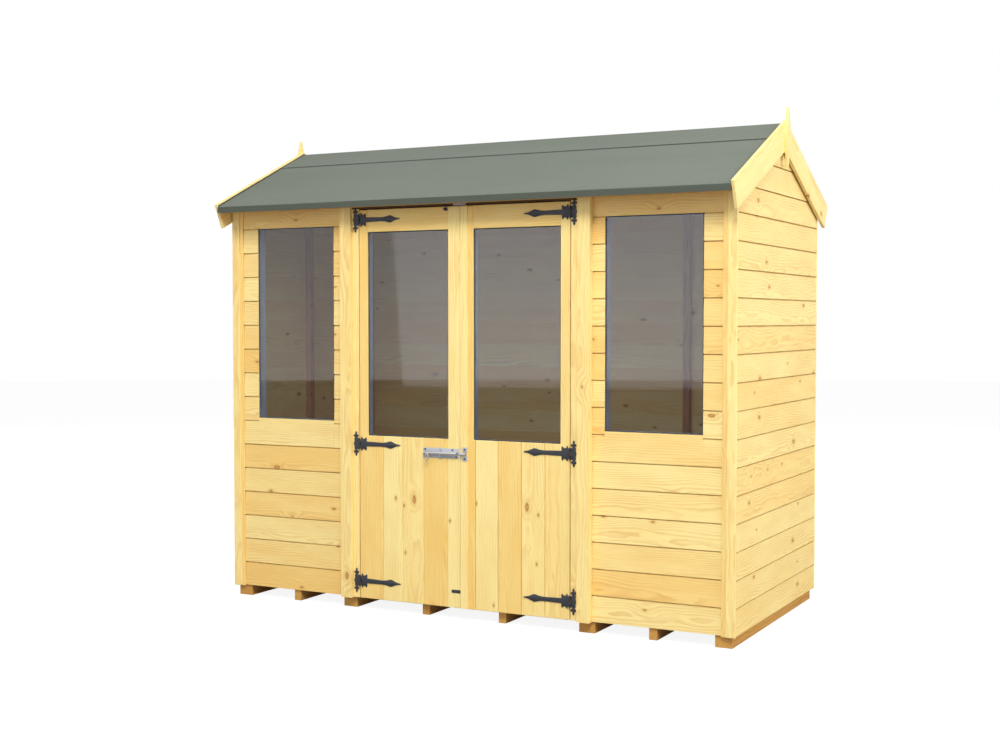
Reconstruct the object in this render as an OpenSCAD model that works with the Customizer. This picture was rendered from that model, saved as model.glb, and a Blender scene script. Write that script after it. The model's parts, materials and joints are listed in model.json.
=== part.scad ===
// Apex summer house of pine boards, with double doors, two fixed windows and a felt roof.
// The front faces -Y, the ridge runs along X, and Z = 0 is the ground under the bearers.

/* [House] */
// Length of the house over its end walls
body_w = 2440; // [2200:10:3000]
// Depth of the house over its front and back boards
body_d = 1148; // [1000:4:1500]
// Height of the front wall boards, from the bottom board to the roof
wall_h = 1791; // [1700:1:2100]
// Thickness of the wall boards
board_t = 12; // [8:1:16]
// Depth of the framing behind the boards
frame_t = 28; // [22:1:44]
// Width of each framing stud
stud_w = 34; // [28:1:60]

/* [Floor] */
// Height of the bearers under the floor
bearer_h = 50; // [35:1:75]
// Width of one bearer
bearer_w = 36; // [28:1:45]
// Distance of the bearer ends behind the wall boards
bearer_back = 10; // [2:1:30]
// Thickness of the floor boards
floor_t = 12; // [9:1:20]

/* [Doorway] */
// Clear width between the door jambs
doorway_w = 1033; // [950:1:1100]
// Height of each door leaf
leaf_h = 1722; // [1650:1:1730]
// Width of each jamb
jamb_w = 34; // [30:1:45]
// Distance of the door faces in front of the wall boards
door_proud = 15; // [8:1:20]
// Width of the cover strips beside the jambs
cover_w = 56; // [40:1:70]
// Distance of the cover strip faces in front of the wall boards
cover_proud = 31; // [22:1:36]

/* [Door leaves] */
// Gap between a leaf and a jamb, and between the two leaves
leaf_gap = 5; // [5:0.5:8]
// Thickness of the boards of a leaf
leaf_t = 12; // [9:1:16]
// Depth of the ledges behind the boards
ledge_t = 27; // [20:1:32]
// Height of each ledge
ledge_h = 90; // [70:1:110]
// Height of the door glass above the bottom of the leaf
door_glass_z = 727; // [650:1:800]
// Height of the door glass
door_glass_h = 898; // [800:1:915]
// Width of the stile on the hinge side
hinge_stile = 42; // [36:1:60]
// Width of the stile where the leaves meet
meeting_stile = 59; // [48:1:70]
// Width of the strip on the meeting edge of the right leaf
strip_w = 32; // [28:1:40]
// Thickness of that strip
strip_t = 3; // [2:0.5:3.5]

/* [Windows] */
// Width of each window
window_w = 420; // [350:1:480]
// Height of each window
window_h = 872; // [700:1:900]
// Height of the window's lower edge above the bottom board
window_z = 785; // [760:1:850]
// Width of the wall between a cover strip and a window
pier_w = 54; // [40:1:80]
// Thickness of the glazing
glass_t = 4; // [3:0.5:6]

/* [Corner trims] */
// Width of the corner trim
trim_w = 40; // [30:1:50]
// Distance of the corner trim's face in front of the boards
trim_t = 10; // [8:1:16]
// Width of the batten beside the trim
batten_w = 19; // [12:1:25]
// Distance of the batten's face in front of the boards
batten_t = 5; // [3:1:7]

/* [Roof] */
// Slope of the roof in degrees
pitch = 24.3; // [20:0.1:30]
// Overhang of the roof boards beyond the front and back boards
eave_over = 108; // [90:1:140]
// Overhang of the roof boards beyond the end walls
verge_over = 5; // [3:1:20]
// Thickness of the roof boards
deck_t = 12; // [9:1:18]
// Thickness of one layer of felt
felt_t = 2; // [1.5:0.5:4]
// Height of the felt's turned-down front edge
felt_drop = 28; // [24:1:45]
// Half width of the felt cap along the ridge
cap_half = 190; // [120:1:260]
// Width of the eaves battens
eaves_batten_w = 28; // [20:1:40]

/* [Bargeboards] */
// Width of the bargeboards
barge_w = 115; // [90:1:140]
// Thickness of the bargeboards
barge_t = 14; // [10:1:20]
// Height of the bargeboards above the felt, square to the slope
barge_up = 8; // [2:1:15]
// Height of the finial's point above the bargeboards
finial_up = 55; // [30:1:80]
// Height of a finial
finial_h = 256; // [180:1:320]
// Greatest width of a finial
finial_w = 76; // [50:1:100]
// Thickness of a finial
finial_t = 12; // [8:1:20]

/* [Hinges] */
// Height of the three hinges above the bottom of the leaf
hinge_z = [78, 689, 1679];
// Radius of the hinge pin
pin_r = 2.5; // [2:0.1:3]
// Radial clearance between the hinge pin and the strap's eye
pin_clear = 0.1; // [0.05:0.01:0.1]
// Radius of the knuckles
knuckle_r = 4.8; // [4.4:0.1:4.9]
// Height of the three knuckles together
knuckle_h = 48; // [40:1:60]
// Gap between two knuckles
knuckle_gap = 0.5; // [0.3:0.1:1]
// Thickness of the hinge plates
plate_t = 3; // [2:0.5:4]
// Length of the hinge strap from its pin
strap_len = 212; // [150:1:300]

/* [Bolt] */
// Height of the bolt above the bottom of the leaf
bolt_z = 665; // [640:1:690]
// Length of the bolt plate
bolt_plate_l = 178; // [150:1:200]
// Height of the bolt plate
bolt_plate_h = 43; // [36:1:50]
// Thickness of the bolt plate
bolt_plate_t = 2.5; // [1.5:0.5:3]
// Radius of the bolt rod
rod_r = 5; // [4:0.5:6]
// Radial clearance of the rod in its guides
rod_clear = 1; // [0.8:0.1:1.5]
// Wall of the guides and the keeper
guide_t = 2.5; // [2:0.5:4]

/* [Hidden] */

// Colours of the materials
pine = [0.98, 0.86, 0.58];
light_pine = [1, 0.91, 0.66];
treated = [0.76, 0.55, 0.3];
felt_green = [0.5, 0.53, 0.47];
black_iron = [0.2, 0.2, 0.2];
zinc = [0.75, 0.77, 0.8];
tinted = [0.42, 0.4, 0.36, 0.5];

// Length of the house in X and places of the walls in Y
half_w = body_w / 2;
half_d = body_d / 2;
inner_x = half_w - board_t;
inner_y = half_d - board_t;
frame_x = inner_x - frame_t;
frame_y = inner_y - frame_t;
wall_z = bearer_h;

// Door opening, seen from the middle outwards
jamb_x = doorway_w / 2;
cover_x = jamb_x + jamb_w;
pier_x = cover_x + cover_w;
window_x = pier_x + pier_w;
window_end = window_x + window_w;
window_top = window_z + window_h;
door_y = -half_d - door_proud;
head_z = leaf_h + leaf_gap;

// Door leaves
leaf_in = leaf_gap / 2;
leaf_out = jamb_x - leaf_gap;
glass_in = leaf_in + meeting_stile;
glass_out = leaf_out - hinge_stile;
door_glass_top = door_glass_z + door_glass_h;
leaf_back = door_y + leaf_t;
ledge_inset = 4;
ledge_z = [33, door_glass_z - ledge_h - 7, door_glass_top + 7];
ledge_tall = [ledge_h, ledge_h, leaf_h - ledge_z[2] - 6];
joint = 1;

// Heights of the wall plates
top_plate_h = 28;
top_plate_z = wall_h - top_plate_h - 6;

// Roof: heights are taken square to the slope from the underside of the roof boards
deck_end_y = half_d + eave_over;
deck_end_x = half_w + verge_over;
felt_level = deck_t + felt_t;
cap_low = felt_level + 0.3;
cap_level = cap_low + felt_t;
barge_level = cap_level + barge_up;
barge_end_y = deck_end_y + felt_t + 3;
apex_gap = 1;
finial_top_z = roof_z(0, barge_level) + finial_up;
finial_shoulder = 110;

// Bearers: centre of each from the middle, and its width in bearers
bearer_rows = [[188, 1], [581, 2], [872, 1], [half_w - 52, 2]];

// Hinges
axis_x = jamb_x - leaf_gap / 2;
axis_y = door_y - knuckle_r - 0.2;
jamb_plate_x = axis_x + knuckle_r + 0.7;
jamb_plate_w = 24;
middle_knuckle = knuckle_h / 3;
eye_clear = 1.2;

// Bolt, in the left leaf's frame
bolt_right = -8;
bolt_left = bolt_right - bolt_plate_l;
keeper_t = 2;
rod_y = door_y - strip_t - keeper_t - rod_r - rod_clear;
rod_l = 158;
rod_left = bolt_left + 9;
guide_w = [9, 10, 10];
guide_x = [bolt_left + 5, bolt_right - 84, bolt_right - 15];
knob_x = rod_left + 22;
keeper_x = leaf_in + 4;
keeper_w = 24;
keeper_h = 58;

// Height of the roof at a distance y from the ridge, at a level above the boards' underside
function roof_z(y, level) =
    wall_z + wall_h + (half_d - abs(y)) * tan(pitch) + level / cos(pitch);

// A mirrored copy of its children for the left side, or the children as they are
module on_side(side) {
    mirror([side < 0 ? 1 : 0, 0, 0]) children();
}

// A box given by its lowest and highest corners, with Z counted from the wall's bottom
module block(lo, hi) {
    translate([lo[0], lo[1], wall_z + lo[2]]) cube(hi - lo);
}

// A profile in Y and Z, drawn along X from x0 to x1
module along_x(x0, x1) {
    translate([x0, 0, 0]) rotate([90, 0, 90]) linear_extrude(x1 - x0) children();
}

// ---- floor ----

module floor_boards() {
    color(treated) block([-inner_x, -inner_y, 0], [inner_x, inner_y, floor_t]);
}

module floor_bearers() {
    color(treated)
    for (side = [-1, 1], row = bearer_rows) {
        w = row[1] * bearer_w;
        translate([side * row[0] - w / 2, -half_d + bearer_back, 0])
            cube([w, body_d - 2 * bearer_back, bearer_h]);
    }
}

// ---- walls ----

module front_base(side) {
    color(pine) on_side(side)
    block([cover_x, -half_d, 0], [inner_x, -inner_y, window_z]);
}

module front_sides(side) {
    color(pine) on_side(side) {
        block([cover_x, -half_d, window_z], [window_x, -inner_y, window_top]);
        block([window_end, -half_d, window_z], [inner_x, -inner_y, window_top]);
    }
}

// The wall over a window, cut to the slope of the roof
module front_header(side) {
    color(pine) on_side(side)
    along_x(cover_x, inner_x) polygon([[-half_d, wall_z + window_top],
        [-inner_y, wall_z + window_top], [-inner_y, roof_z(inner_y, 0)],
        [-half_d, roof_z(half_d, 0)]]);
}

// The rail over the doors, with a face board up to the roof
module door_head() {
    color(light_pine)
    along_x(-cover_x, cover_x) polygon([[door_y, wall_z + head_z], [-frame_y, wall_z + head_z],
        [-frame_y, wall_z + top_plate_z], [-inner_y, wall_z + top_plate_z],
        [-inner_y, roof_z(inner_y, 0)], [door_y, roof_z(door_y, 0)]]);
}

// A jamb stands on the floor boards, and its front part covers their edge
module jamb(side) {
    color(light_pine) on_side(side) {
        block([jamb_x, door_y, 0], [cover_x, -inner_y, head_z]);
        block([jamb_x, -inner_y, floor_t], [cover_x, -frame_y, head_z]);
    }
}

module cover_strip(side) {
    color(light_pine) on_side(side)
    along_x(cover_x, pier_x) polygon([[-half_d - cover_proud, wall_z - 2], [-half_d, wall_z - 2],
        [-half_d, roof_z(half_d, 0)], [-half_d - cover_proud, roof_z(half_d + cover_proud, 0)]]);
}

module back_wall() {
    color(pine)
    along_x(-inner_x, inner_x) polygon([[inner_y, wall_z], [half_d, wall_z],
        [half_d, roof_z(half_d, 0)], [inner_y, roof_z(inner_y, 0)]]);
}

// An end wall with its gable
module end_wall(side) {
    color(pine) on_side(side)
    along_x(inner_x, half_w) polygon([[-half_d, wall_z], [half_d, wall_z],
        [half_d, roof_z(half_d, 0)], [0, roof_z(0, 0)], [-half_d, roof_z(half_d, 0)]]);
}

// The trim over the ends of an end wall's boards, with the batten beside it
module corner_trim(side, front) {
    low = wall_z - 4;
    trim_x = half_w - trim_w;
    color(light_pine) on_side(side) mirror([0, front ? 0 : 1, 0])
    translate([0, 0, low]) linear_extrude(roof_z(half_d + trim_t, 0) - low)
        polygon([[half_w, -half_d], [half_w, -half_d - trim_t],
            [trim_x, -half_d - trim_t], [trim_x, -half_d - batten_t],
            [trim_x - batten_w, -half_d - batten_t], [trim_x - batten_w, -half_d]]);
}

module corner_trims(front) {
    for (side = [-1, 1]) corner_trim(side, front);
}

// ---- framing ----

// A stud from the bottom plate to the top plate
module stud(x, y) {
    block([x, y, floor_t + stud_w], [x + stud_w, y + frame_t, top_plate_z]);
}

module front_studs() {
    color(treated)
    for (side = [-1, 1]) on_side(side)
        for (x = [cover_x, window_x - stud_w, window_end, inner_x - stud_w]) stud(x, -inner_y);
}

module back_studs() {
    color(treated)
    for (x = [-inner_x, -pier_x - stud_w / 2, -stud_w / 2, pier_x - stud_w / 2, inner_x - stud_w])
        stud(x, frame_y);
}

// Three studs along each end wall
module side_studs() {
    run = frame_y - stud_w - joint;
    color(treated)
    for (side = [-1, 1], y = [-run, -stud_w / 2, run - stud_w]) on_side(side)
        block([frame_x, y, floor_t + stud_w],
            [inner_x, y + stud_w, roof_z(abs(y) + stud_w, 0) - wall_z - 4]);
}

module bottom_plates() {
    color(treated) {
        for (side = [-1, 1]) on_side(side) {
            block([cover_x, -inner_y, floor_t], [inner_x, -frame_y, floor_t + stud_w]);
            block([frame_x, -frame_y + joint, floor_t], [inner_x, frame_y - joint, floor_t + stud_w]);
        }
        block([-inner_x, frame_y, floor_t], [inner_x, inner_y, floor_t + stud_w]);
    }
}

module top_plates() {
    color(treated)
    for (y = [-inner_y, frame_y])
        block([-inner_x, y, top_plate_z], [inner_x, y + frame_t, top_plate_z + top_plate_h]);
}

// Rails under and over each window, between its studs
module window_rails() {
    color(treated)
    for (side = [-1, 1], z = [window_z - frame_t, window_top]) on_side(side)
        block([window_x, -inner_y, z], [window_end, -frame_y, z + frame_t]);
}

// ---- roof ----

// A sheet lying on the slope between two levels, from the ridge to y1
module roof_sheet(y1, low, high, x) {
    along_x(-x, x) polygon([[0, roof_z(0, low)], [-y1, roof_z(y1, low)],
        [-y1, roof_z(y1, high)], [0, roof_z(0, high)]]);
}

module roof_boards(front) {
    color(treated) mirror([0, front ? 0 : 1, 0])
    roof_sheet(deck_end_y, 0, deck_t, deck_end_x);
}

// The felt of one slope, turned down over the edge of the boards
module felt(front) {
    fold_y = deck_end_y + felt_t;
    fold_z = roof_z(fold_y, felt_level);
    color(felt_green) mirror([0, front ? 0 : 1, 0])
    along_x(-deck_end_x, deck_end_x) polygon([[0, roof_z(0, deck_t)],
        [-deck_end_y, roof_z(deck_end_y, deck_t)], [-deck_end_y, fold_z - felt_drop],
        [-fold_y, fold_z - felt_drop], [-fold_y, fold_z], [0, roof_z(0, felt_level)]]);
}

module felt_ridge() {
    color(felt_green)
    along_x(-deck_end_x, deck_end_x) polygon([[0, roof_z(0, cap_low)],
        [-cap_half, roof_z(cap_half, cap_low)], [-cap_half, roof_z(cap_half, cap_level)],
        [0, roof_z(0, cap_level)],
        [cap_half, roof_z(cap_half, cap_level)], [cap_half, roof_z(cap_half, cap_low)]]);
}

// The batten that the felt is nailed to, under the edge of the roof boards
module eaves_batten(front) {
    low = roof_z(deck_end_y + felt_t, felt_level) - felt_drop;
    inside = deck_end_y - eaves_batten_w;
    color(treated) mirror([0, front ? 0 : 1, 0])
    along_x(-half_w, half_w) polygon([[-deck_end_y, low], [-inside, low],
        [-inside, roof_z(inside, 0)], [-deck_end_y, roof_z(deck_end_y, 0)]]);
}

// One bargeboard: a plumb cut at the ridge, and a square cut at the eaves
module bargeboard() {
    low = barge_level - barge_w;
    cut = barge_w * sin(pitch);
    along_x(deck_end_x, deck_end_x + barge_t)
        polygon([[-apex_gap / 2, roof_z(apex_gap / 2, low)],
            [-apex_gap / 2, roof_z(apex_gap / 2, barge_level)],
            [-barge_end_y, roof_z(barge_end_y, barge_level)],
            [-barge_end_y + cut, roof_z(barge_end_y - cut, low)]]);
}

module bargeboards(side) {
    color(light_pine) on_side(side) {
        bargeboard();
        mirror([0, 1, 0]) bargeboard();
    }
}

// A flat pointed board over the joint of two bargeboards
module finial(side) {
    tip = 5;
    color(light_pine) on_side(side)
    along_x(deck_end_x + barge_t, deck_end_x + barge_t + finial_t) translate([0, finial_top_z])
        polygon([[-tip / 2, 0], [-finial_w / 2, -finial_shoulder], [0, -finial_h],
            [finial_w / 2, -finial_shoulder], [tip / 2, 0]]);
}

// ---- windows ----

module window_glass(side) {
    color(tinted) on_side(side)
    block([window_x, -inner_y - glass_t, window_z], [window_end, -inner_y, window_top]);
}

// ---- hinges ----

// Outline of the jamb plate: a bar with a round middle, and a ball and spike at each end
module jamb_plate_outline() {
    bar_h = 36;
    ball_z = 43;
    translate([-jamb_plate_w / 2 + 2, -bar_h]) square([jamb_plate_w - 4, 2 * bar_h]);
    scale([1, 1.15]) circle(d = jamb_plate_w, $fn = 40);
    for (up = [0, 1]) mirror([0, up]) {
        for (x = [-1, 1]) translate([x * 5.5, ball_z]) circle(r = 4.5, $fn = 24);
        translate([0, ball_z - 2]) circle(r = 6, $fn = 24);
        translate([-2.6, ball_z - 10]) square([5.2, 18]);
        translate([0, ball_z + 8]) circle(r = 3.6, $fn = 24);
    }
}

// A flat plate in the plane of the doors, drawn in X and Z, on a face at y
module plate_at(y, z, thickness) {
    translate([0, y, wall_z + z]) rotate([90, 0, 0]) linear_extrude(thickness) children();
}

// The fixed half of a hinge: plate, two outer knuckles and the pin
module jamb_half(z) {
    plate_at(door_y, z, plate_t) translate([jamb_plate_x + jamb_plate_w / 2, 0])
        jamb_plate_outline();
    for (up = [-1, 1]) {
        low = up > 0 ? middle_knuckle / 2 + knuckle_gap : -knuckle_h / 2;
        tall = middle_knuckle - knuckle_gap;
        translate([axis_x, axis_y, wall_z + z + low]) cylinder(r = knuckle_r, h = tall, $fn = 32);
        translate([axis_x, door_y - plate_t, wall_z + z + low])
            cube([jamb_plate_x - axis_x + 5, plate_t - 0.2, tall]);
    }
    translate([axis_x, axis_y, wall_z + z - knuckle_h / 2])
        cylinder(r = pin_r, h = knuckle_h, $fn = 32);
}

module hinge_plates(side) {
    color(black_iron) on_side(side)
    for (z = hinge_z) jamb_half(z);
}

// Outline of the strap: a plate with pointed corners, a tapered bar and a spear head
module strap_outline() {
    plate_end = 27;
    neck = strap_len - 34;
    polygon([[-eye_clear, 20], [-4, 27], [-10, 20], [-17, 21], [-22, 28], [-plate_end, 24],
        [-plate_end, 9], [-neck, 5], [-neck - 7, 5], [-neck - 13, 11], [-strap_len, 0],
        [-neck - 13, -11], [-neck - 7, -5], [-neck, -5], [-plate_end, -9],
        [-plate_end, -24], [-22, -28], [-17, -21], [-10, -20], [-4, -27], [-eye_clear, -20]]);
}

// The moving half of a hinge: strap and middle knuckle, bored for the pin
module strap_half(z) {
    web_w = knuckle_r + eye_clear + 2;
    difference() {
        union() {
            plate_at(door_y, z, plate_t) translate([axis_x - knuckle_r, 0]) strap_outline();
            translate([axis_x, axis_y, wall_z + z - middle_knuckle / 2])
                cylinder(r = knuckle_r, h = middle_knuckle, $fn = 32);
            translate([axis_x - web_w, door_y - plate_t, wall_z + z - middle_knuckle / 2])
                cube([web_w, plate_t - 0.2, middle_knuckle]);
        }
        translate([axis_x, axis_y, wall_z + z - middle_knuckle])
            cylinder(r = pin_r + pin_clear, h = 2 * middle_knuckle, $fn = 32);
    }
}

module door_straps(side) {
    color(black_iron) on_side(side)
    for (z = hinge_z) strap_half(z);
}

// ---- door leaves ----

module door_panel(side) {
    color(pine) on_side(side)
    block([leaf_in, door_y, 0], [leaf_out, leaf_back, door_glass_z]);
}

module door_stiles(side) {
    color(pine) on_side(side) {
        block([leaf_in, door_y, door_glass_z], [glass_in, leaf_back, leaf_h]);
        block([glass_out, door_y, door_glass_z], [leaf_out, leaf_back, leaf_h]);
    }
}

module door_top(side) {
    color(pine) on_side(side)
    block([glass_in, door_y, door_glass_top], [glass_out, leaf_back, leaf_h]);
}

// Three ledges across the back of a leaf, and the uprights beside its glass
module door_ledges(side) {
    low = leaf_in + ledge_inset;
    high = leaf_out - ledge_inset;
    upright_z = ledge_z[1] + ledge_h + joint;
    color(treated) on_side(side) {
        for (i = [0:2])
            block([low, leaf_back, ledge_z[i]],
                [high, leaf_back + ledge_t, ledge_z[i] + ledge_tall[i]]);
        block([low, leaf_back, upright_z], [glass_in, leaf_back + ledge_t, ledge_z[2] - joint]);
        block([glass_out, leaf_back, upright_z], [high, leaf_back + ledge_t, ledge_z[2] - joint]);
    }
}

module door_glass(side) {
    color(tinted) on_side(side)
    block([glass_in, leaf_back - glass_t, door_glass_z], [glass_out, leaf_back, door_glass_top]);
}

module right_door_strip() {
    color(light_pine)
    block([leaf_in, door_y - strip_t, 0], [leaf_in + strip_w, door_y, leaf_h]);
}

// ---- bolt ----

// A hoop over the rod, standing on a face at y
module hoop(x, w, y) {
    top = rod_y - rod_r - rod_clear - guide_t;
    half = rod_r + rod_clear;
    difference() {
        translate([x, top, wall_z + bolt_z - half - guide_t])
            cube([w, y - top, 2 * (half + guide_t)]);
        translate([x - 1, rod_y, wall_z + bolt_z]) rotate([0, 90, 0])
            cylinder(r = half, h = w + 2, $fn = 32);
        translate([x - 1, rod_y, wall_z + bolt_z - half]) cube([w + 2, y - rod_y, 2 * half]);
    }
}

// A rectangle with round corners
module rounded_plate(w, h, r) {
    translate([r, 0]) square([w - 2 * r, h]);
    translate([0, r]) square([w, h - 2 * r]);
    for (x = [r, w - r], y = [r, h - r]) translate([x, y]) circle(r = r, $fn = 24);
}

// The plate with its three guides
module bolt_plate() {
    color(zinc) {
        plate_at(door_y, bolt_z, bolt_plate_t) translate([bolt_left, -bolt_plate_h / 2])
            rounded_plate(bolt_plate_l, bolt_plate_h, 4);
        for (i = [0:2]) hoop(guide_x[i], guide_w[i], door_y - bolt_plate_t);
    }
}

// The rod with the knob that slides it
module bolt_rod() {
    color(zinc) {
        translate([rod_left, rod_y, wall_z + bolt_z]) rotate([0, 90, 0])
            cylinder(r = rod_r, h = rod_l, $fn = 32);
        translate([knob_x, rod_y, wall_z + bolt_z]) rotate([90, 0, 0])
            cylinder(r = 3.2, h = 14, $fn = 24);
        translate([knob_x, rod_y - 14, wall_z + bolt_z - 22]) cylinder(r = 4.5, h = 26, $fn = 24);
    }
}

module bolt_keeper() {
    face = door_y - strip_t;
    color(zinc) {
        plate_at(face, bolt_z, keeper_t) translate([keeper_x, -keeper_h / 2])
            square([keeper_w, keeper_h]);
        hoop(keeper_x + 5, keeper_w - 10, face - keeper_t);
    }
}

// ---- the nodes ----

floor_boards();
floor_bearers();
front_base(-1);  // front_left_base
front_sides(-1);  // front_left_sides
front_header(-1);  // front_left_header
front_base(1);  // front_right_base
front_sides(1);  // front_right_sides
front_header(1);  // front_right_header
door_head();
jamb(-1);  // left_jamb
jamb(1);  // right_jamb
cover_strip(-1);  // left_cover_strip
cover_strip(1);  // right_cover_strip
back_wall();
end_wall(-1);  // left_wall
end_wall(1);  // right_wall
corner_trims(true);  // front_corner_trims
corner_trims(false);  // back_corner_trims
front_studs();
back_studs();
side_studs();
bottom_plates();
top_plates();
window_rails();
roof_boards(true);  // roof_boards_front
roof_boards(false);  // roof_boards_back
felt(true);  // felt_front
felt(false);  // felt_back
felt_ridge();
eaves_batten(true);  // front_eaves_batten
eaves_batten(false);  // back_eaves_batten
bargeboards(-1);  // left_bargeboards
bargeboards(1);  // right_bargeboards
finial(-1);  // left_finial
finial(1);  // right_finial
window_glass(-1);  // left_window_glass
window_glass(1);  // right_window_glass
hinge_plates(-1);  // left_hinge_plates
hinge_plates(1);  // right_hinge_plates
door_panel(-1);  // left_door_panel
door_stiles(-1);  // left_door_stiles
door_top(-1);  // left_door_top
door_ledges(-1);  // left_door_ledges
door_glass(-1);  // left_door_glass
door_straps(-1);  // left_door_straps
bolt_plate();
bolt_rod();
door_panel(1);  // right_door_panel
door_stiles(1);  // right_door_stiles
door_top(1);  // right_door_top
door_ledges(1);  // right_door_ledges
door_glass(1);  // right_door_glass
door_straps(1);  // right_door_straps
right_door_strip();
bolt_keeper();
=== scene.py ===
import json
import math
import random

import bmesh
import bpy
from mathutils import Matrix, Vector


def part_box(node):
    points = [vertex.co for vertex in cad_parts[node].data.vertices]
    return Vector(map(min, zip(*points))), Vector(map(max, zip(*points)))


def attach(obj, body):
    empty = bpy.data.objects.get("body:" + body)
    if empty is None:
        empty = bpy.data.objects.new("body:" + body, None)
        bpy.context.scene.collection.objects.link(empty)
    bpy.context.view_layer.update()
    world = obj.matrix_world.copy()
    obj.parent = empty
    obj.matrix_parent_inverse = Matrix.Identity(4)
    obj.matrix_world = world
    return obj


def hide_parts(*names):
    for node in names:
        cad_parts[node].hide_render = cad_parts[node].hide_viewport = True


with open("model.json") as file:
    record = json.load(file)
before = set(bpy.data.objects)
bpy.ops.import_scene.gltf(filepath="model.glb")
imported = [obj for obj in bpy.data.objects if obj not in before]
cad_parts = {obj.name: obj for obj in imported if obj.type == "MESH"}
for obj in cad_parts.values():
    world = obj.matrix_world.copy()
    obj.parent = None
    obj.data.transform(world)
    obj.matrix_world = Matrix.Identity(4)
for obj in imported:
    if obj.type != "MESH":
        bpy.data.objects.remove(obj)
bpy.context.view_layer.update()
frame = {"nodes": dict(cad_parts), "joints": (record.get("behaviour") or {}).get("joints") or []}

MM = 0.001
X, Y, Z = Vector((1, 0, 0)), Vector((0, 1, 0)), Vector((0, 0, 1))

# ---- sizes and places, from the frame ----

base_lo, base_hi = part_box("front_right_base")
wall_lo, wall_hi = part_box("right_wall")
back_lo, back_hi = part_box("back_wall")
trim_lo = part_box("front_corner_trims")[0]
cover_lo, cover_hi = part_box("right_cover_strip")
window_lo, window_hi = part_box("right_window_glass")
head_lo, head_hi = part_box("door_head")
jamb_lo, jamb_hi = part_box("right_jamb")
panel_lo, panel_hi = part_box("right_door_panel")
stile_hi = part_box("right_door_stiles")[1]
pane_lo, pane_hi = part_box("right_door_glass")
strip_lo, strip_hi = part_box("right_door_strip")
deck_lo, deck_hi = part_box("roof_boards_front")
felt_lo, felt_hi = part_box("felt_front")
cap_lo, cap_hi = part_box("felt_ridge")
barge_lo, barge_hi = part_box("right_bargeboards")
finial_lo, finial_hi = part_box("right_finial")
floor_lo, floor_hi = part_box("floor_boards")
bolt_lo, bolt_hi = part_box("bolt_plate")
rod_lo, rod_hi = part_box("bolt_rod")
keeper_lo, keeper_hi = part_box("bolt_keeper")

FOOT_Z = base_lo.z
HALF_W = wall_hi.x
HALF_D = -wall_lo.y
BOARD_T = HALF_W - wall_lo.x
RIDGE_Z = wall_hi.z
SLOPE = (RIDGE_Z - back_hi.z) / back_lo.y
PITCH = math.atan(SLOPE)
DOOR_Y = panel_lo.y
COURSE = 110.5 * MM
LAP = 8 * MM
FELT_LEVEL = 14 * MM


def roof_z(y, level=0.0):
    """Height of the roof at y, at a level square to the slope above the roof boards' underside."""
    return RIDGE_Z - abs(y) * SLOPE + level / math.cos(PITCH)


def slope_axes(way):
    """Down the slope and out of it, for the front slope (-1) or the back one (1)."""
    return (Vector((0, way * math.cos(PITCH), -math.sin(PITCH))),
            Vector((0, way * math.sin(PITCH), math.cos(PITCH))))


def axes(origin, along, up, out):
    """A board's own axes: x along its grain, y across it, z out of its face."""
    place = Matrix.Identity(4)
    for column, axis in enumerate((along, up, out, origin)):
        place.col[column][:3] = axis
    return place


def facing_front(x, y, z):
    """The axes of a level board or fitting on a face that looks along -Y."""
    return axes(Vector((x, y, z)), X, Z, -Y)


ROOF_CUTS = [(Vector((0, 0, RIDGE_Z)), slope_axes(way)[1]) for way in (-1, 1)]


# ---- materials ----

class Graph:
    """A material's node tree, with short calls for the nodes that it uses most."""

    def __init__(self, name, **settings):
        self.material = bpy.data.materials.new(name)
        self.material.use_nodes = True
        self.tree = self.material.node_tree
        self.shader = self.tree.nodes["Principled BSDF"]
        for socket, value in settings.items():
            self.shader.inputs[socket.replace("_", " ")].default_value = value

    def node(self, kind, inputs=(), **options):
        made = self.tree.nodes.new("ShaderNode" + kind)
        for option, value in options.items():
            setattr(made, option, value)
        for socket, value in dict(inputs).items():
            self.put(made.inputs[socket], value)
        return made

    def put(self, socket, value):
        if isinstance(value, bpy.types.NodeSocket):
            self.tree.links.new(value, socket)
        else:
            socket.default_value = value

    def math(self, operation, *values, clamp=False):
        made = self.node("Math", operation=operation, use_clamp=clamp)
        for socket, value in zip(made.inputs, values):
            self.put(socket, value)
        return made.outputs[0]

    def times(self, a, b):
        return self.math("MULTIPLY", a, b)

    def stretch(self, vector, scale):
        return self.node("VectorMath", {0: vector, 1: scale}, operation="MULTIPLY").outputs[0]

    def noise(self, vector, scale=1.0, detail=2.0, roughness=0.5):
        made = self.node("TexNoise", {"Vector": vector, "Scale": scale, "Detail": detail,
                                      "Roughness": roughness})
        return made.outputs["Fac"]

    def wobble(self, vector, swing, detail=2.0):
        """Noise about nought, over this whole swing."""
        return self.math("MULTIPLY_ADD", self.noise(vector, 1.0, detail), swing, -swing / 2)

    def step(self, value, low, high, to_low=0.0, to_high=1.0):
        """A smooth change from to_low to to_high as the value goes from low to high."""
        made = self.node("MapRange", {"Value": value, "From Min": low, "From Max": high,
                                      "To Min": to_low, "To Max": to_high},
                         interpolation_type="SMOOTHSTEP")
        return made.outputs["Result"]

    def mix(self, factor, low, high, blend="MIX"):
        made = self.node("Mix", data_type="RGBA", blend_type=blend)
        self.put(made.inputs[0], factor)
        self.put(made.inputs[6], low)
        self.put(made.inputs[7], high)
        return made.outputs[2]

    def bump(self, height, distance, strength=1.0):
        made = self.node("Bump", {"Height": height, "Distance": distance, "Strength": strength})
        self.put(self.shader.inputs["Normal"], made.outputs[0])

    def colour(self, value):
        self.put(self.shader.inputs["Base Color"], value)


def srgb(red, green, blue):
    """A colour written in 0 to 255, as the linear colour that the shader takes."""
    parts = [c / 255 for c in (red, green, blue)]
    return [c / 12.92 if c <= 0.04045 else ((c + 0.055) / 1.055) ** 2.4 for c in parts] + [1]


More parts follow.
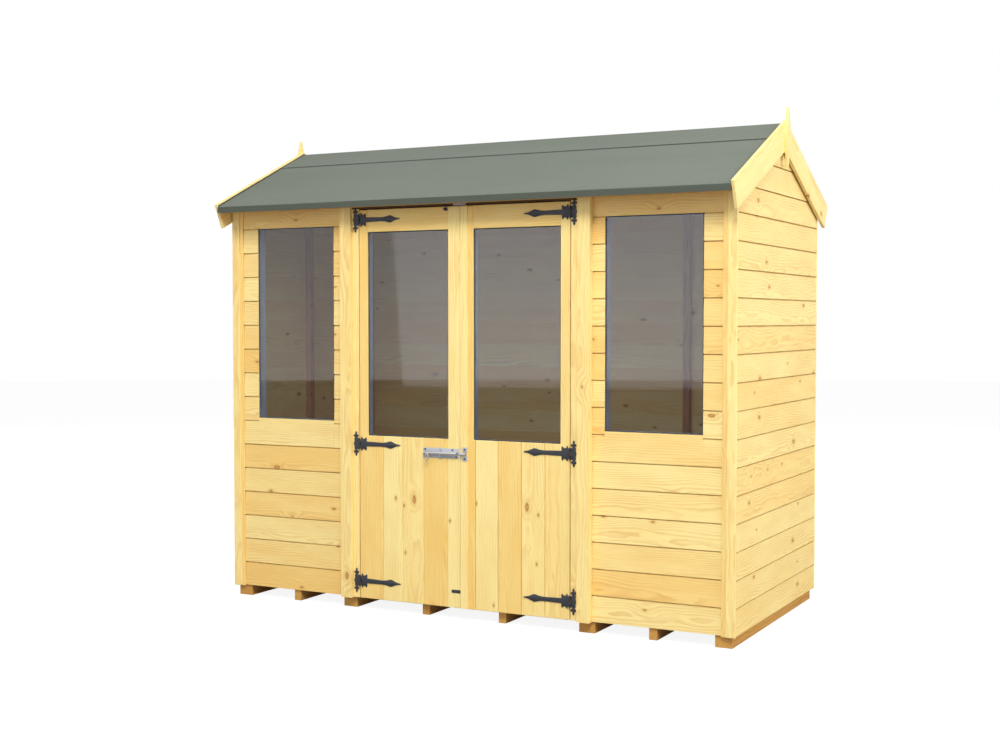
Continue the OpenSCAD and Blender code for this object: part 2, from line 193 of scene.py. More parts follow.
def wood(name, pale, golden, late, knot, knots, contrast, roughness=0.55):
    """Sawn softwood: rings round a wandering pith, fine fibre, and knots that push the rings aside.
    It reads the board's own axes and its tone from two attributes."""
    pale, golden, late, knot = (srgb(*shade) for shade in (pale, golden, late, knot))
    rings_a_metre = 115.0
    g = Graph(name, Roughness=roughness)
    grain = g.node("Attribute", attribute_name="grain").outputs["Vector"]
    tone = g.node("Attribute", attribute_name="tone").outputs["Fac"]
    shift = g.node("CombineXYZ", {i: g.times(tone, far) for i, far in enumerate((37.0, 91.0, 53.0))})
    own = g.node("VectorMath", {0: grain, 1: shift.outputs[0]}, operation="ADD").outputs[0]
    parts = g.node("SeparateXYZ", {0: grain}).outputs

    # Knots: one cell in a few holds one, longer along the grain than across it
    cells = g.node("TexVoronoi", {"Vector": g.stretch(own, (4.6, 8.6, 0.0)), "Scale": 1.0,
                                  "Randomness": 0.85}, voronoi_dimensions="2D")
    distance = cells.outputs["Distance"]
    chosen, share = g.node("SeparateColor", {0: cells.outputs["Color"]}).outputs[:2]
    here = g.math("LESS_THAN", chosen, knots)
    size = g.math("MULTIPLY_ADD", g.times(share, share), 0.05, 0.03)
    near = g.times(g.step(distance, 0.0, 0.42, 1.0, 0.0), here)
    reach = g.math("ADD", g.math("DIVIDE", distance, size),
                   g.wobble(g.stretch(own, (90.0, 150.0, 0.0)), 0.7))
    core = g.times(g.step(reach, 0.8, 1.15, 1.0, 0.0), here)
    heart = g.step(reach, 0.3, 0.85, 1.0, 0.0)
    halo = g.times(g.step(reach, 0.9, 3.2, 1.0, 0.0), here)

    # Rings: distance from the pith, which wanders along the board
    across = g.math("ADD", parts[1], g.wobble(g.stretch(own, (1.6, 5.0, 5.0)), 0.07))
    depth = g.math("ADD", parts[2], g.wobble(g.stretch(own, (2.6, 9.0, 2.0)), 0.05, 3.0))
    radius = g.math("SQRT", g.math("ADD", g.times(across, across), g.times(depth, depth)))
    wave = g.wobble(g.stretch(own, (9.0, 60.0, 60.0)), 0.004)
    pushed = g.math("ADD", g.math("ADD", radius, wave), g.times(near, 0.016))
    rings = g.math("FRACT", g.times(pushed, rings_a_metre))
    late_part = g.times(g.step(rings, 0.25, 0.85), g.step(rings, 0.9, 1.0, 1.0, 0.0))
    fade = g.step(g.noise(g.stretch(own, (3.0, 14.0, 14.0))), 0.3, 0.7, 0.25, 1.0)
    late_part = g.times(late_part, fade)

    # Colour: pale to golden by the board's tone, then late wood, fibre and knots over it
    fibre = g.noise(g.stretch(own, (14.0, 420.0, 420.0)))
    cloud = g.wobble(g.stretch(own, (3.2, 16.0, 16.0)), 1.1, 3.0)
    base = g.mix(g.math("ADD", tone, cloud, clamp=True), pale, golden)
    base = g.mix(g.times(late_part, contrast), base, late)
    base = g.mix(g.times(g.step(fibre, 0.35, 0.7), 0.16), base, late)
    base = g.mix(g.times(halo, 0.35), base, late)
    base = g.mix(g.times(core, 0.85), base, g.mix(g.times(heart, 0.6), knot, late))
    g.colour(base)
    g.bump(g.math("ADD", g.times(fibre, 0.5), g.times(late_part, 0.5)), 0.25 * MM, 0.5)
    return g.material


def felt_material():
    """Roofing felt with mineral grit: fine grains over a slow change of colour, and painted shade on
    faces that turn away from up.
    """
    g = Graph("mineral_felt", Roughness=0.9)
    place = g.node("TexCoord").outputs["Object"]
    grit = g.noise(place, 520.0, 2.0, 0.7)
    grains = g.node("TexVoronoi", {"Vector": place, "Scale": 420.0}).outputs["Color"]
    speck = g.node("SeparateColor", {0: grains}).outputs[0]
    drift = g.noise(g.stretch(place, (0.8, 3.0, 3.0)), 1.0, 3.0)
    base = g.mix(g.step(drift, 0.3, 0.7), srgb(104, 111, 100), srgb(112, 117, 107))
    base = g.mix(g.times(g.step(speck, 0.55, 1.0), 0.35), base, srgb(136, 140, 130))
    base = g.mix(g.times(g.step(grit, 0.55, 0.75), 0.5), base, srgb(78, 86, 74))
    # Painted shade: faces that turn away from up, such as the turned-down edge at the eaves, are made
    # darker
    facing = g.node("SeparateXYZ", {0: g.node("NewGeometry").outputs["Normal"]}).outputs[2]
    folded = g.step(facing, 0.25, 0.7, 1.0, 0.0)
    base = g.mix(g.times(folded, 0.7), base, srgb(66, 71, 61))
    g.colour(base)
    g.bump(g.math("ADD", grit, speck), 0.5 * MM, 0.5)
    return g.material


def iron_material():
    """Black lacquer over steel, a little uneven in colour and gloss."""
    g = Graph("black_lacquer", Metallic=0.35, Roughness=0.45)
    place = g.node("TexCoord").outputs["Object"]
    mottle = g.noise(place, 240.0, 3.0)
    g.colour(g.mix(mottle, srgb(58, 61, 68), srgb(74, 76, 82)))
    g.put(g.shader.inputs["Roughness"], g.step(g.noise(place, 60.0, 3.0), 0.3, 0.7, 0.38, 0.55))
    g.bump(mottle, 0.15 * MM, 0.5)
    return g.material


def zinc_material(name, shade, metallic):
    """Zinc plate with fine drawing lines along X."""
    g = Graph(name, Metallic=metallic)
    place = g.node("TexCoord").outputs["Object"]
    lines = g.noise(g.stretch(place, (60.0, 900.0, 900.0)), 1.0, 2.0)
    g.colour(g.mix(lines, srgb(*shade), srgb(*(c - 16 for c in shade))))
    g.put(g.shader.inputs["Roughness"], g.step(lines, 0.2, 0.8, 0.3, 0.45))
    g.bump(lines, 0.05 * MM, 0.4)
    return g.material


def glass_material():
    """Clear glazing with a light grey tint and a faint ripple."""
    g = Graph("glazing", Roughness=0.02, IOR=1.58, Transmission_Weight=1.0)
    place = g.node("TexCoord").outputs["Object"]
    ripple = g.noise(g.stretch(place, (5.0, 5.0, 3.0)), 1.0, 2.0)
    g.colour(g.mix(ripple, srgb(236, 243, 255), srgb(240, 246, 255)))
    g.bump(ripple, 0.3 * MM, 0.1)
    return g.material


def soft_material(name, dark, light):
    """Soft matt stuff, such as glazing sealant, or near-black painted shade on screw heads and along
    the felt's laps.
    """
    g = Graph(name, Roughness=0.55)
    place = g.node("TexCoord").outputs["Object"]
    soft = g.noise(place, 90.0, 2.0)
    g.colour(g.mix(soft, srgb(*dark), srgb(*light)))
    g.bump(soft, 0.2 * MM, 0.4)
    return g.material


PINE = wood("pine", (251, 229, 156), (245, 205, 122), (212, 158, 80), (160, 106, 50),
            knots=0.3, contrast=0.42)
DOOR_PINE = wood("door_pine", (254, 234, 160), (246, 206, 118), (220, 166, 82), (164, 106, 50),
                 knots=0.2, contrast=0.34)
TRIM_PINE = wood("trim_pine", (253, 233, 160), (248, 212, 128), (218, 162, 82), (170, 112, 54),
                 knots=0.08, contrast=0.42)
TREATED = wood("treated_timber", (214, 164, 86), (202, 148, 72), (172, 116, 52), (92, 54, 28),
               knots=0.35, contrast=0.55, roughness=0.7)
INNER = wood("inner_framing", (208, 150, 102), (188, 126, 80), (142, 88, 52), (96, 52, 30),
             knots=0.3, contrast=0.5, roughness=0.75)
# Painted shade: the door head's dark wood stands in for the shade under the eave
SHADED = wood("door_head_painted_shade", (104, 82, 46), (88, 68, 38), (64, 48, 26), (48, 34, 18),
              knots=0.1, contrast=0.4, roughness=0.75)
FELT = felt_material()
IRON = iron_material()
ZINC = zinc_material("bright_zinc", (200, 204, 214), 0.45)
BRIGHT = zinc_material("polished_zinc", (232, 233, 236), 0.92)
GLASS = glass_material()
SEAL = soft_material("glazing_seal", (54, 57, 70), (70, 72, 84))
LINER = soft_material("grey_liner", (172, 178, 188), (182, 188, 196))
# Painted shade: the near-black screw heads stand in for the shade in their countersunk holes
SCREW_RECESS_SHADE = soft_material("screw_recess_shade", (24, 25, 32), (34, 35, 42))
# Near black, for painted shade lines along the cap's laps and the verges
PAINTED_SHADE = soft_material("bitumen", (44, 47, 46), (58, 61, 56))


# ---- mesh building ----

def show(name, data):
    """A new object in the scene that shows the data."""
    made = bpy.data.objects.new(name, data)
    bpy.context.scene.collection.objects.link(made)
    return made


def make_object(name, verts, faces, material, smooth=False):
    """A mesh object from plain lists."""
    mesh = bpy.data.meshes.new(name)
    mesh.from_pydata(verts, [], faces)
    mesh.materials.append(material)
    mesh.polygons.foreach_set("use_smooth", [smooth] * len(mesh.polygons))
    return show(name, mesh)


def hand_over(piece, body, slot, *nodes):
    """Puts a finished piece on its body and hides the CAD nodes it stands for. The slot is not used."""
    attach(piece, body)
    if nodes:
        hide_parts(*nodes)
    return piece


def oblong(wide, high):
    """The corners of a rectangle from the origin."""
    return [(0, 0), (wide, 0), (wide, high), (0, high)]


def prism(points, lift):
    """A closed solid: a flat outline moved by lift."""
    bm = bmesh.new()
    face = bm.faces.new([bm.verts.new(p) for p in points])
    top = bmesh.ops.extrude_face_region(bm, geom=[face])["geom"]
    bmesh.ops.translate(bm, verts=[v for v in top if isinstance(v, bmesh.types.BMVert)], vec=lift)
    return bm


def cut_away(bm, point, normal):
    """Removes what lies beyond a plane and closes the cut."""
    parts = bm.verts[:] + bm.edges[:] + bm.faces[:]
    result = bmesh.ops.bisect_plane(bm, geom=parts, plane_co=point, plane_no=normal, clear_outer=True)
    rim = [e for e in result["geom_cut"] if isinstance(e, bmesh.types.BMEdge)]
    if rim:
        bmesh.ops.edgenet_fill(bm, edges=rim)


def round_edges(bm, radius, segments=1, least=0.5):
    """Bevels each edge that turns by more than least, in radians."""
    bmesh.ops.remove_doubles(bm, verts=bm.verts[:], dist=1e-6)
    bmesh.ops.recalc_face_normals(bm, faces=bm.faces[:])
    sharp = [e for e in bm.edges if len(e.link_faces) == 2 and e.calc_face_angle(0) > least]
    bmesh.ops.bevel(bm, geom=sharp, offset=radius, offset_type="OFFSET", segments=segments,
                    profile=0.5, affect="EDGES", clamp_overlap=True)


class Timber:
    """Boards collected into one mesh. Each keeps its own axes and tone, for the wood's grain."""

    def __init__(self, name):
        self.name = name
        self.draw = random.Random(name)
        self.verts, self.faces, self.grain, self.tone = [], [], [], []

    def add(self, bm, place, bevel, cuts=(), tone=None, pith=None, segments=1):
        """Takes in one board: places, cuts and rounds it, and notes its grain. Frees its bmesh."""
        bmesh.ops.transform(bm, matrix=place, verts=bm.verts[:])
        for point, normal in cuts:
            if bm.verts:
                cut_away(bm, point, normal)
        if not bm.faces:
            bm.free()
            return
        round_edges(bm, bevel, segments)
        tone = self.draw.random() if tone is None else tone
        pith = pith or (self.draw.uniform(-0.05, 0.05), self.draw.uniform(0.02, 0.07))
        own = place.inverted()
        first = len(self.verts)
        bm.verts.index_update()
        for v in bm.verts:
            self.verts.append(v.co.copy())
            local = own @ v.co
            self.grain.append((local.x, local.y + pith[0], local.z + pith[1]))
            self.tone.append(tone)
        self.faces += [[first + v.index for v in f.verts] for f in bm.faces]
        bm.free()

    def profile(self, place, section, length, bevel=1 * MM, **more):
        """A board with the same section, across and out, all along its length."""
        self.add(prism([(0, across, out) for across, out in section], (length, 0, 0)),
                 place, bevel, **more)

    def plank(self, place, outline, thickness, bevel=1 * MM, **more):
        """A flat board with an outline of its own, given in its own x and y."""
        self.add(prism([(x, y, -thickness) for x, y in outline], (0, 0, thickness)),
                 place, bevel, **more)

    def bar(self, lo, hi, bevel=1.2 * MM, **more):
        """A squared timber between two corners, with its grain along its longest side."""
        size = hi - lo
        order = sorted(range(3), key=lambda i: -size[i])
        along, up, out = ((X, Y, Z)[i] for i in order)
        middle = (lo + hi) / 2
        place = axes(middle, along, up, out)
        long, wide, thick = (size[i] for i in order)
        corners = [(-wide / 2, -thick / 2), (wide / 2, -thick / 2), (wide / 2, thick / 2),
                   (-wide / 2, thick / 2)]
        self.add(prism([(-long / 2, a, b) for a, b in corners], (long, 0, 0)), place, bevel, **more)

    def finish(self, material, body, slot, *nodes):
        """Makes the collected boards one piece."""
        made = make_object(self.name, self.verts, self.faces, material)
        grain = made.data.attributes.new("grain", "FLOAT_VECTOR", "POINT")
        grain.data.foreach_set("vector", [c for triple in self.grain for c in triple])
        tone = made.data.attributes.new("tone", "FLOAT", "POINT")
        tone.data.foreach_set("value", self.tone)
        return hand_over(made, body, slot, *nodes)


def join_parts(name, parts, material, body, slot, *nodes):
    """Joins small parts into one piece, smooth except at sharp edges, and hands it over."""
    whole = bmesh.new()
    for part in parts:
        keep = bpy.data.meshes.new("part")
        part.to_mesh(keep)
        part.free()
        whole.from_mesh(keep)
        bpy.data.meshes.remove(keep)
    mesh = bpy.data.meshes.new(name)
    whole.to_mesh(mesh)
    whole.free()
    mesh.materials.append(material)
    mesh.polygons.foreach_set("use_smooth", [True] * len(mesh.polygons))
    mesh.set_sharp_from_angle(angle=math.radians(38))
    return hand_over(show(name, mesh), body, slot, *nodes)


def islands(node):
    """The boxes of a CAD node's separate solids."""
    bm = bmesh.new()
    bm.from_mesh(frame["nodes"][node].data)
    bmesh.ops.remove_doubles(bm, verts=bm.verts[:], dist=1e-5)
    left, boxes = set(bm.verts), []
    while left:
        group, queue = [], [left.pop()]
        while queue:
            v = queue.pop()
            group.append(v.co.copy())
            for e in v.link_edges:
                other = e.other_vert(v)
                if other in left:
                    left.remove(other)
                    queue.append(other)
        boxes.append(tuple(Vector(pick(c[i] for c in group) for i in range(3)) for pick in (min, max)))
    bm.free()
    return sorted(boxes, key=lambda box: tuple(round(c, 4) for c in box[0]))


def bars(name, material, body, slot, *nodes):
    """Squared timbers for CAD nodes that are plain boxes."""
    timber = Timber(name)
    for node in nodes:
        for lo, hi in islands(node):
            timber.bar(lo, hi)
    return timber.finish(material, body, slot, *nodes)


# ---- walls ----

def lap_section(first):
    """An overlap board: its foot stands proud over the board below, its face leans back."""
    foot_t, lean, slot_t, slot_h = 4.4 * MM, 2.6 * MM, 9.4 * MM, 4.6 * MM
    bottom = [(0, -BOARD_T)] if first else [(0, -foot_t), (LAP, -foot_t), (LAP, -BOARD_T)]
    head = [(COURSE + LAP, -BOARD_T), (COURSE + LAP, -slot_t), (COURSE - slot_h, -slot_t),
            (COURSE - slot_h, -lean)]
    return [(0, 0)] + bottom + head


def courses(timber, place, length, low, high, cuts=(), golden=1.0):
    """Overlap boards from height low to high above the wall's foot, none more golden than golden."""
    limit = list(cuts)
    if low > 0:
        limit.append((place.translation + Z * low, -Z))
    limit.append((place.translation + Z * high, Z))
    for i in range(math.floor(low / COURSE + 0.01), math.ceil(high / COURSE)):
        settle = timber.draw.uniform(-0.4, 0.0) * MM
        shift = Matrix.Translation(Z * (i * COURSE) + place.col[2].to_3d() * settle)
        timber.profile(shift @ place, lap_section(i == 0), length, cuts=limit, bevel=0.7 * MM,
                       tone=timber.draw.random() * golden)


def front_walls():
    """The front on each side: boards below and beside the window, and a rail over it."""
    sill, top = window_lo.z - FOOT_Z, window_hi.z - FOOT_Z
    seat = (math.floor(sill / COURSE) - 1) * COURSE
    width = base_hi.x - base_lo.x
    for side, word in ((-1, "left"), (1, "right")):
        start = base_lo.x if side > 0 else -base_hi.x
        glass = sorted((side * window_lo.x, side * window_hi.x))
        place = facing_front(start, -HALF_D, FOOT_Z)
        base = Timber(f"front_{word}_base_boards")
        courses(base, place, width, 0, seat)
        # The last board reaches up to the glass, and is lapped like the others beside it
        tone = base.draw.random()
        lifted = Matrix.Translation(Z * seat) @ place
        lapped = lap_section(False)
        tall = [(0, 0)] + lapped[1:4] + [(sill - seat, -BOARD_T), (sill - seat, -1.5 * MM)]
        for x0, x1, section in ((start, glass[0], lapped), (glass[0], glass[1], tall),
                                (glass[1], start + width, lapped)):
            sides = [(Vector((x0, 0, 0)), -X), (Vector((x1, 0, 0)), X)]
            base.profile(lifted, section, width, bevel=0.4 * MM, cuts=sides, tone=tone,
                         pith=(0.03, 0.05))
        base.finish(PINE, "house", "pine_boards", f"front_{word}_base")

        beside = Timber(f"front_{word}_side_boards")
        for x0, x1 in ((start, glass[0]), (glass[1], start + width)):
            spot = facing_front(x0, -HALF_D, FOOT_Z)
            courses(beside, spot, x1 - x0, seat + COURSE, top)
        beside.finish(PINE, "house", "pine_boards", f"front_{word}_sides")

        rail = Timber(f"front_{word}_header_rail")
        rail_place = facing_front(start, -HALF_D, window_hi.z)
        high = roof_z(HALF_D) - window_hi.z + 10 * MM
        rail.plank(rail_place, oblong(width, high), BOARD_T, cuts=ROOF_CUTS, tone=0.75)
        rail.finish(PINE, "house", "pine_boards", f"front_{word}_header")


def outer_walls():
    """The back wall and the two end walls with their gables."""
    back = Timber("back_wall_boards")
    inner = -back_lo.x
    courses(back, axes(Vector((inner, HALF_D, FOOT_Z)), -X, Z, Y), 2 * inner, 0,
            roof_z(HALF_D) - FOOT_Z + 10 * MM, ROOF_CUTS)
    back.finish(PINE, "house", "pine_boards", "back_wall")
    for side, word in ((-1, "left"), (1, "right")):
        wall = Timber(f"{word}_wall_boards")
        place = axes(Vector((side * HALF_W, -side * HALF_D, FOOT_Z)), side * Y, Z, side * X)
        courses(wall, place, 2 * HALF_D, 0, RIDGE_Z - FOOT_Z, ROOF_CUTS, golden=0.55)
        wall.finish(PINE, "house", "pine_boards", f"{word}_wall")


def corner_trims():
    """Upright trims over the corners, each with a thin batten beside it."""
    trim_t, trim_w, batten_t, batten_w = -HALF_D - trim_lo.y, 40 * MM, 5 * MM, 19 * MM
    for way, word in ((-1, "front"), (1, "back")):
        timber = Timber(f"{word}_corner_trim_boards")
        for side in (-1, 1):
            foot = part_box(f"{word}_corner_trims")[0].z
            tall = roof_z(HALF_D + trim_t) - foot
            edge = Vector((side * HALF_W, way * HALF_D, foot))
            place = axes(edge + way * Y * trim_t, Z, -side * X, way * Y)
            timber.profile(place, oblong(trim_w, -trim_t), tall, bevel=1.5 * MM, cuts=ROOF_CUTS,
                           tone=timber.draw.uniform(0.0, 0.35))
            # Painted shade: the batten's golden tone stands in for the shade of the prouder trim beside
            # it
            place = axes(edge + way * Y * batten_t - side * X * trim_w, Z, -side * X, way * Y)
            timber.profile(place, oblong(batten_w, -batten_t), tall, bevel=0.8 * MM, cuts=ROOF_CUTS,
                           tone=timber.draw.uniform(0.7, 1.0))
        timber.finish(TRIM_PINE, "house", "planed_trim", f"{word}_corner_trims")


# ---- doorway ----

def doorway():
    """Head board, jambs and cover strips."""
    head = Timber("door_head_board")
    wide = head_hi.x - head_lo.x
    tall = roof_z(DOOR_Y) - head_lo.z + 6 * MM
    place = facing_front(head_lo.x, DOOR_Y, head_lo.z)
    head.plank(place, oblong(wide, tall), head_hi.y - head_lo.y - 30 * MM, cuts=ROOF_CUTS, tone=0.6)
    # The head board gets the dark wood of painted eave shade
    head.finish(SHADED, "house", "planed_trim", "door_head")
    for side, word in ((-1, "left"), (1, "right")):
        jamb = Timber(f"{word}_jamb_post")
        depth = floor_lo.y - DOOR_Y
        width = jamb_hi.x - jamb_lo.x
        start = min(side * jamb_lo.x, side * jamb_hi.x)
        place = axes(Vector((start, DOOR_Y, FOOT_Z)), Z, X, -Y)
        jamb.profile(place, oblong(width, -depth), jamb_hi.z - FOOT_Z, bevel=1.2 * MM, tone=0.25)
        jamb.bar(Vector((start, floor_lo.y, floor_hi.z)), Vector((start + width, jamb_hi.y, jamb_hi.z)))
        jamb.finish(TRIM_PINE, "house", "planed_trim", f"{word}_jamb")

        cover = Timber(f"{word}_cover_batten")
        width, proud = cover_hi.x - cover_lo.x, -cover_lo.y - HALF_D
        start = min(side * cover_lo.x, side * cover_hi.x)
        place = axes(Vector((start, cover_lo.y, cover_lo.z)), Z, X, -Y)
        cover.profile(place, oblong(width, -proud), cover_hi.z - cover_lo.z, bevel=2.6 * MM,
                      segments=3, cuts=ROOF_CUTS, tone=0.35)
        cover.finish(TRIM_PINE, "house", "planed_trim", f"{word}_cover_strip")


# ---- floor and framing ----

def matched_board(width, thick):
    """The section of a board whose upper edges are chamfered, so that each joint shows as a groove."""
    edge = 1.2 * MM
    return [(0, -thick), (0, -edge), (edge, 0), (width - edge, 0), (width, -edge), (width, -thick)]


def floor():
    """Tongued boards along the house, on eight bearers."""
    boards = Timber("floor_planks")
    count = 11
    width = (floor_hi.y - floor_lo.y) / count
    thick = floor_hi.z - floor_lo.z
    for i in range(count):
        place = axes(Vector((floor_lo.x, floor_lo.y + i * width, floor_hi.z)), X, Y, Z)
        boards.profile(place, matched_board(width, thick), floor_hi.x - floor_lo.x, bevel=0.3 * MM)
    boards.finish(INNER, "house", "rough_timber", "floor_boards")
    bars("bearer_timbers", TREATED, "house", "rough_timber", "floor_bearers")


def framing():
    """The studs, plates and rails behind the boards."""
    for node in ("front_studs", "back_studs", "side_studs", "bottom_plates", "top_plates",
                 "window_rails"):
        bars(f"{node}_timber", INNER, "house", "rough_timber", node)


# ---- roof ----

def roof_boards():
    """Tongued boards along the roof, seen from inside and under the eaves."""
    run = math.hypot(deck_hi.y - deck_lo.y, (deck_hi.y - deck_lo.y) * SLOPE)
    count = 8
    width = run / count
    thick = 12 * MM
    for way, word in ((-1, "front"), (1, "back")):
        timber = Timber(f"roof_planks_{word}")
        down, up = slope_axes(way)
        plumb = [(Vector((0, 0, 0)), -way * Y), (Vector((0, way * -deck_lo.y, 0)), way * Y)]
        for i in range(count + 1):
            spot = Vector((deck_lo.x, 0, RIDGE_Z)) + down * ((i - 0.5) * width)
            timber.profile(axes(spot, X, down, -up), matched_board(width, thick),
                           deck_hi.x - deck_lo.x, bevel=0.3 * MM, cuts=plumb)
        timber.finish(INNER, "house", "rough_timber", f"roof_boards_{word}")


def draped_sheet(name, line, thickness, x0, x1, material, *nodes):
    """A sheet with the same line of points in Y and Z all along X, faintly uneven."""
    draw = random.Random(name)
    waves = [(draw.uniform(2, 9), draw.uniform(0, 6.3), draw.uniform(0, 9)) for _ in range(5)]
    steps = 72

    def dip(x, i):
        return sum(math.sin(rate * x + start + rise * i / 9) for rate, start, rise in waves) / 10 - 0.5

    normals = []
    for i in range(len(line)):
        a, b = line[max(i - 1, 0)], line[min(i + 1, len(line) - 1)]
        run = math.hypot(b[0] - a[0], b[1] - a[1])
        normals.append((-(b[1] - a[1]) / run, (b[0] - a[0]) / run))
    verts, faces = [], []
    count = len(line)
    for s in range(steps + 1):
        x = x0 + (x1 - x0) * s / steps
        for depth in (0, thickness):
            for i, (y, z) in enumerate(line):
                sink = depth - 0.8 * MM * dip(x, i) * (1 if depth == 0 else 0)
                verts.append((x, y - normals[i][0] * sink, z - normals[i][1] * sink))
    for s in range(steps):
        a, b = s * 2 * count, (s + 1) * 2 * count
        for i in range(count - 1):
            faces.append((a + i, a + i + 1, b + i + 1, b + i))
            faces.append((a + count + i, b + count + i, b + count + i + 1, a + count + i + 1))
        faces.append((a, b, b + count, a + count))
        last = count - 1
        faces.append((a + last, a + count + last, b + count + last, b + last))
    for start in (0, steps * 2 * count):
        for i in range(count - 1):
            faces.append((start + i, start + count + i, start + count + i + 1, start + i + 1))
    made = make_object(name, verts, faces, material, smooth=True)
    bm = bmesh.new()
    bm.from_mesh(made.data)
    bmesh.ops.recalc_face_normals(bm, faces=bm.faces[:])
    bm.to_mesh(made.data)
    bm.free()
    made.data.set_sharp_from_angle(angle=math.radians(40))
    return hand_over(made, "house", "roofing_felt", *nodes)


def felt():
    """Felt on each slope, folded down over the eaves, and a cap over the ridge."""
    felt_t, bend = 2 * MM, 5 * MM
    fold_y = -felt_lo.y
    bend_y = fold_y - bend
    for way, word in ((-1, "front"), (1, "back")):
        line = [(way * y, roof_z(y, FELT_LEVEL)) for y in [i * bend_y / 22 for i in range(23)]]
        centre_z = roof_z(bend_y, FELT_LEVEL) - bend / math.cos(PITCH)
        for i in range(6):
            turn = PITCH + (math.pi / 2 - PITCH) * i / 5
            line.append((way * (bend_y + bend * math.sin(turn)), centre_z + bend * math.cos(turn)))
        for i in range(1, 6):
            line.append((way * fold_y, centre_z + (felt_lo.z - centre_z) * i / 5))
        if way < 0:
            line.reverse()
        draped_sheet(f"felt_sheet_{word}", line, felt_t, felt_lo.x, felt_hi.x, FELT, f"felt_{word}")

    cap_level, reach, round_top = FELT_LEVEL + 2.3 * MM, cap_hi.y, 12 * MM
    line = [(y, roof_z(math.hypot(y, round_top), cap_level)) for y in
            [reach * i / 14 for i in range(-14, 15)]]
    draped_sheet("felt_ridge_cap", line, felt_t, cap_lo.x, cap_hi.x, FELT, "felt_ridge")


def bitumen():
    """Near-black strips of painted shade along the laps of the cap and beside the bargeboards."""
    beads = Timber("bitumen_beads")
    reach, past_ridge = cap_hi.y, 2 * MM
    run = (-felt_lo.y - 8 * MM) / math.cos(PITCH)
    at_cap = [(-3 * MM, 0.1 * MM), (7 * MM, 0.1 * MM), (6 * MM, 1.1 * MM), (-3 * MM, 1.1 * MM)]
    at_barge = [(0, 0.2 * MM), (5 * MM, 0.2 * MM), (5 * MM, 4.5 * MM), (2 * MM, 4.5 * MM)]
    for way in (-1, 1):
        down, up = slope_axes(way)
        spot = Vector((cap_lo.x, way * reach, roof_z(reach, FELT_LEVEL)))
        beads.profile(axes(spot, X, down, up), at_cap, cap_hi.x - cap_lo.x, bevel=0.3 * MM)
        top_z = roof_z(past_ridge, FELT_LEVEL)
        for side in (-1, 1):
            spot = Vector((side * (felt_hi.x - 5 * MM), way * past_ridge, top_z))
            beads.profile(axes(spot, down, side * X, up), at_barge, run, bevel=0.3 * MM)
    beads.finish(PAINTED_SHADE, "house", "roofing_felt")


def eaves_and_barges():
    """The battens under the eaves, the bargeboards and the finials."""
    bars("front_eaves_timber", TREATED, "house", "rough_timber", "front_eaves_batten")
    bars("back_eaves_timber", TREATED, "house", "rough_timber", "back_eaves_batten")
    level, width, past_ridge = 24.3 * MM, 115 * MM, 0.2
    long = -barge_lo.y / math.cos(PITCH)
    for side, word in ((-1, "left"), (1, "right")):
        timber = Timber(f"{word}_barge_planks")
        for way in (-1, 1):
            down, up = slope_axes(way)
            place = axes(Vector((side * barge_hi.x, 0, roof_z(0, level))), down, up, side * X)
            timber.plank(place, [(-past_ridge, 0), (long, 0), (long, -width), (0, -width)],
                         barge_hi.x - barge_lo.x, bevel=1.6 * MM, segments=2,
                         cuts=[(Vector((0, way * 0.5 * MM, 0)), -way * Y)],
                         tone=timber.draw.uniform(0.05, 0.35))
        timber.finish(TRIM_PINE, "house", "planed_trim", f"{word}_bargeboards")

        point = Timber(f"{word}_finial_board")
        half, shoulder = finial_hi.y, finial_hi.z - 110 * MM
        tip, tail = finial_hi.z - shoulder, finial_lo.z - shoulder
        place = axes(Vector((side * finial_hi.x, 0, shoulder)), Z, Y, side * X)
        outline = [(tip, -2.5 * MM), (tip - 30 * MM, -10 * MM), (0, -half), (-20 * MM, -half * 0.94),
                   (tail, 0), (-20 * MM, half * 0.94), (0, half), (tip - 30 * MM, 10 * MM),
                   (tip, 2.5 * MM)]
        point.plank(place, outline, finial_hi.x - finial_lo.x, bevel=1.6 * MM, segments=2, tone=0.15)
        point.finish(TRIM_PINE, "house", "planed_trim", f"{word}_finial")


# ---- door leaves ----

# The left leaf's boards close more tightly than the right one's
LEAF_GAP = {"left": 0.5 * MM, "right": 0.9 * MM}
# The boards of each leaf from the meeting edge outwards: where one ends, and how golden it is
LEAF_BOARDS = {"left": ((64.5, 0.12), (184.5, 0.8), (291, 0.3), (391, 0.0), (None, 0.75)),
               "right": ((71, 0.9), (179, 0.0), (289.5, 0.75), (399, 0.3), (None, 0.4))}


